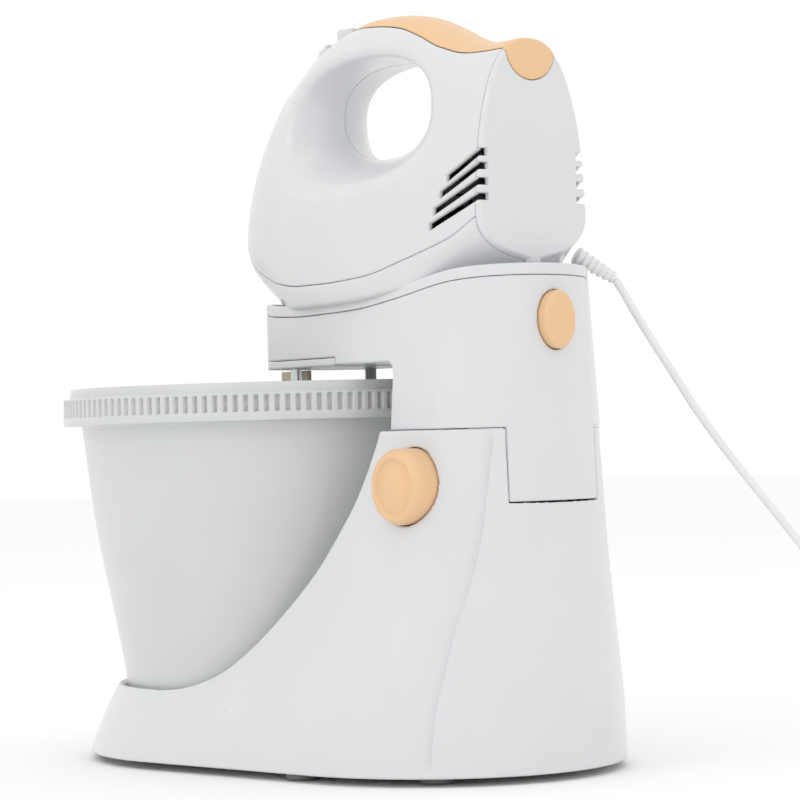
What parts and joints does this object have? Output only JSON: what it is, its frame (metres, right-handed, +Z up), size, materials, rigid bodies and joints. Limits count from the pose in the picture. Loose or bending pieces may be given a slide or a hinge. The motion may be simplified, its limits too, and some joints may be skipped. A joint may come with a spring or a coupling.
{
  "type": "stand mixer",
  "caption": "Tilting-arm stand carrying a removable hand mixer over a self-turning round bowl, with twin wire beaters, tilt and release buttons, speed selector and mains lead.",
  "frame": {"origin": "centre of the machine's footprint at the worktop plane, measured without the mains lead", "axes": "+Z up, -Y towards the bowl end (front), +Y towards the hinge and rear face, +X the machine's left when facing the same way as the machine"},
  "size_m": [0.3206, 0.372, 0.3243],
  "materials": {
    "white_gloss": "glossy warm-white moulded plastic",
    "bowl_white": "glossy pale grey-white moulded plastic",
    "peach": "satin peach moulded plastic",
    "grey_plastic": "satin mid-grey plastic",
    "dark_plastic": "matte near-black plastic",
    "natural_plastic": "satin natural nylon",
    "foot_rubber": "matte grey rubber",
    "steel": "bright plated steel",
    "copper": null,
    "iron": "laminated dark iron",
    "lead_plastic": "soft white lead covering"
  },
  "bodies": {
    "base": {"base_shell": "white_gloss", "base_bottom_plate": "white_gloss", "foot_1": "foot_rubber", "foot_2": "foot_rubber", "foot_3": "foot_rubber", "foot_4": "foot_rubber", "foot_5": "foot_rubber", "foot_6": "foot_rubber", "plate_screw_1": "steel", "plate_screw_2": "steel", "plate_screw_3": "steel", "plate_screw_4": "steel", "turntable_axle": "steel", "hinge_pin": "steel", "tilt_spring": "steel", "lead_coil": "lead_plastic", "mains_plug": "lead_plastic"},
    "bowl_turntable": {"turntable": "white_gloss", "bowl": "bowl_white"},
    "tilt_release": {"tilt_button": "peach", "tilt_latch": "dark_plastic"},
    "arm": {"arm_shell": "white_gloss", "arm_top_cover": "white_gloss", "arm_bottom_plate": "white_gloss", "arm_screw_1": "steel", "arm_screw_2": "steel", "arm_rest_peg": "grey_plastic", "bowl_scraper": "natural_plastic", "mixer_release_spring": "steel", "housing_left": "white_gloss", "housing_right": "white_gloss", "motor_housing": "white_gloss", "rear_plate": "white_gloss", "rear_cap": "peach", "handle_grip": "peach", "motor_stator": "iron", "front_bearing": "steel", "rear_bearing": "steel", "brush_left": "dark_plastic", "brush_right": "dark_plastic", "switch_block": "dark_plastic", "strain_relief": "lead_plastic", "mains_lead": "lead_plastic"},
    "mixer_release": {"mixer_release_button": "peach", "mixer_release_catch": "dark_plastic"},
    "motor_rotor": {"motor_rotor": "iron", "commutator": "copper", "cooling_fan": "grey_plastic"},
    "beater_left": {"spindle_left": "natural_plastic", "beater_left": "steel", "drive_gear": "natural_plastic"},
    "beater_right": {"spindle_right": "natural_plastic", "beater_right": "steel"},
    "small_idler": {"idler_gear_small": "natural_plastic"},
    "large_idler": {"idler_gear_large": "natural_plastic"},
    "bowl_pinion": {"bowl_pinion": "natural_plastic"},
    "speed_selector": {"speed_selector": "white_gloss"},
    "eject_button": {"eject_button": "white_gloss"}
  },
  "joints": [
    {"name": "arm_tilt", "type": "hinge", "parent": "base", "child": "arm", "pos_m": [0, 0.134, 0.119], "axis": [-1, 0, 0], "range_deg": [0, 50]},
    {"name": "bowl_spin", "type": "hinge", "parent": "base", "child": "bowl_turntable", "pos_m": [0, -0.043, 0.031], "axis": [0, 0, 1], "continuous": true},
    {"name": "tilt_button_press", "type": "slide", "parent": "base", "child": "tilt_release", "axis": [-1, 0, 0], "range_m": [0, 0.004], "stiffness_N_per_m": 400, "deforming": ["tilt_spring"]},
    {"name": "mixer_release_press", "type": "slide", "parent": "arm", "child": "mixer_release", "axis": [0, -1, 0], "range_m": [0, 0.003], "stiffness_N_per_m": 400, "deforming": ["mixer_release_spring"]},
    {"name": "motor_spin", "type": "hinge", "parent": "arm", "child": "motor_rotor", "pos_m": [0, 0.057, 0.231], "axis": [0, 1, 0], "continuous": true},
    {"name": "beater_left_spin", "type": "hinge", "parent": "arm", "child": "beater_left", "pos_m": [0.021, -0.007, 0.15], "axis": [0, 0, 1], "continuous": true},
    {"name": "beater_right_spin", "type": "hinge", "parent": "arm", "child": "beater_right", "pos_m": [-0.021, -0.007, 0.15], "axis": [0, 0, 1], "continuous": true},
    {"name": "small_idler_spin", "type": "hinge", "parent": "arm", "child": "small_idler", "pos_m": [0.01176, 0.00398, 0.1825], "axis": [0, 0, 1], "continuous": true},
    {"name": "large_idler_spin", "type": "hinge", "parent": "arm", "child": "large_idler", "pos_m": [0.00623, 0.03482, 0.1825], "axis": [0, 0, 1], "continuous": true},
    {"name": "bowl_pinion_spin", "type": "hinge", "parent": "arm", "child": "bowl_pinion", "pos_m": [0, 0.0696, 0.17], "axis": [0, 0, 1], "continuous": true},
    {"name": "speed_selector_slide", "type": "slide", "parent": "arm", "child": "speed_selector", "axis": [0, 1, 0], "range_m": [0, 0.005]},
    {"name": "eject_press", "type": "slide", "parent": "arm", "child": "eject_button", "axis": [0, 0, -1], "range_m": [0, 0.0025], "stiffness_N_per_m": 400}
  ],
  "couplings": [
    {"joint": "beater_left_spin", "follows": "motor_spin", "ratio": 0.083333},
    {"joint": "beater_right_spin", "follows": "motor_spin", "ratio": -0.083333},
    {"joint": "small_idler_spin", "follows": "motor_spin", "ratio": -0.046296},
    {"joint": "large_idler_spin", "follows": "motor_spin", "ratio": 0.018939},
    {"joint": "bowl_pinion_spin", "follows": "motor_spin", "ratio": -0.032051},
    {"joint": "bowl_spin", "follows": "motor_spin", "ratio": 0.0034341}
  ]
}
